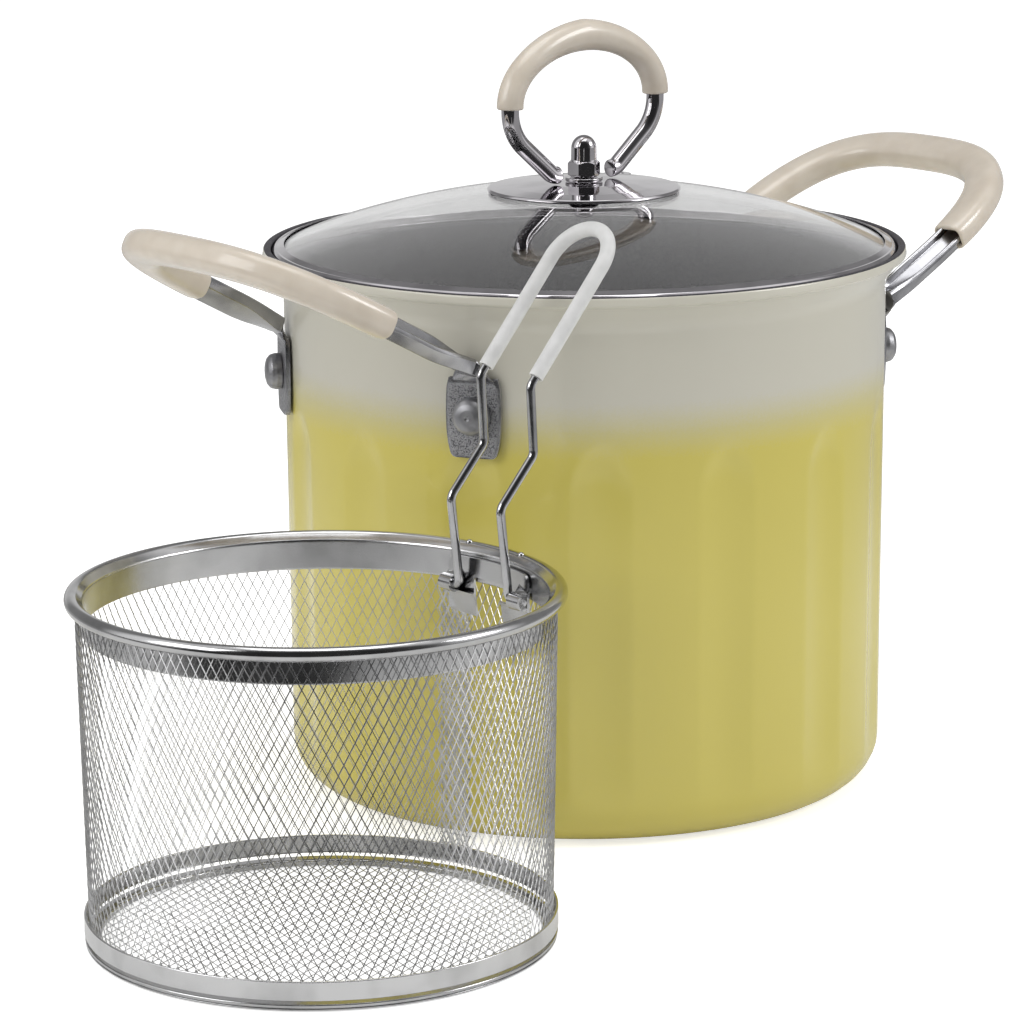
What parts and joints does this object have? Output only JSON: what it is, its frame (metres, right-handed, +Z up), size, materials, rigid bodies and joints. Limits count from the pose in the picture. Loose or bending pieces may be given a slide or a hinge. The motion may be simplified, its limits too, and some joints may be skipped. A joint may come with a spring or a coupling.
{
  "type": "deep fryer pot",
  "caption": "Fluted enamelled frying pot with a domed glass lid, riveted loop handles and a wire mesh basket with a folding handle.",
  "frame": {"origin": "centre of the pot's flat underside", "axes": "+Z up out of the pot, +X along the pot's side handles away from the basket, +Y across them"},
  "size_m": [0.4342, 0.2735, 0.2615],
  "materials": {
    "pot_enamel": "glossy cream enamel that fades to yellow below, dark grey non-stick coat inside",
    "plated_steel": "plated steel, hammered texture on the ears",
    "cream_plastic": "glossy moulded cream",
    "rivet_aluminium": "satin",
    "clear_glass": "clear, polished",
    "bright_steel": "polished stainless steel",
    "seal_silicone": "matte",
    "basket_steel": "polished stainless sheet",
    "mesh_steel": "bright expanded mesh",
    "white_silicone": "milky white sleeve"
  },
  "bodies": {
    "pot": {"pot_body": "pot_enamel", "handle_right": "plated_steel", "handle_left": "plated_steel", "grip_right": "cream_plastic", "grip_left": "cream_plastic", "rivet_right_rear": "rivet_aluminium", "rivet_right_front": "rivet_aluminium", "rivet_left_front": "rivet_aluminium", "rivet_left_rear": "rivet_aluminium"},
    "lid": {"lid_glass": "clear_glass", "lid_ring": "bright_steel", "lid_disc": "bright_steel", "lid_bow": "bright_steel", "lid_grip": "cream_plastic", "lid_cap_nut": "bright_steel", "lid_nut_washer": "bright_steel", "lid_seal": "seal_silicone", "lid_screw": "bright_steel", "lid_vent_eyelet": "bright_steel"},
    "basket": {"basket_rim": "basket_steel", "basket_mesh_wall": "mesh_steel", "basket_mesh_floor": "mesh_steel", "basket_foot_band": "basket_steel", "basket_foot_ring": "basket_steel", "basket_bracket": "basket_steel"},
    "basket_handle": {"basket_handle_wire": "bright_steel", "basket_handle_sleeve": "white_silicone"}
  },
  "joints": [
    {"name": "lid_lift", "type": "slide", "parent": "pot", "child": "lid", "axis": [0, 0, 1], "range_m": [0, 0.15]},
    {"name": "basket_lift", "type": "slide", "parent": "pot", "child": "basket", "axis": [-0.3951, -0.2536, 0.8829], "range_m": [0, 0.2]},
    {"name": "basket_handle_fold", "type": "hinge", "parent": "basket", "child": "basket_handle", "pos_m": [-0.1189, -0.08814, 0.098], "axis": [-0.0175, -0.9998, 0], "range_deg": [0, 120]}
  ]
}
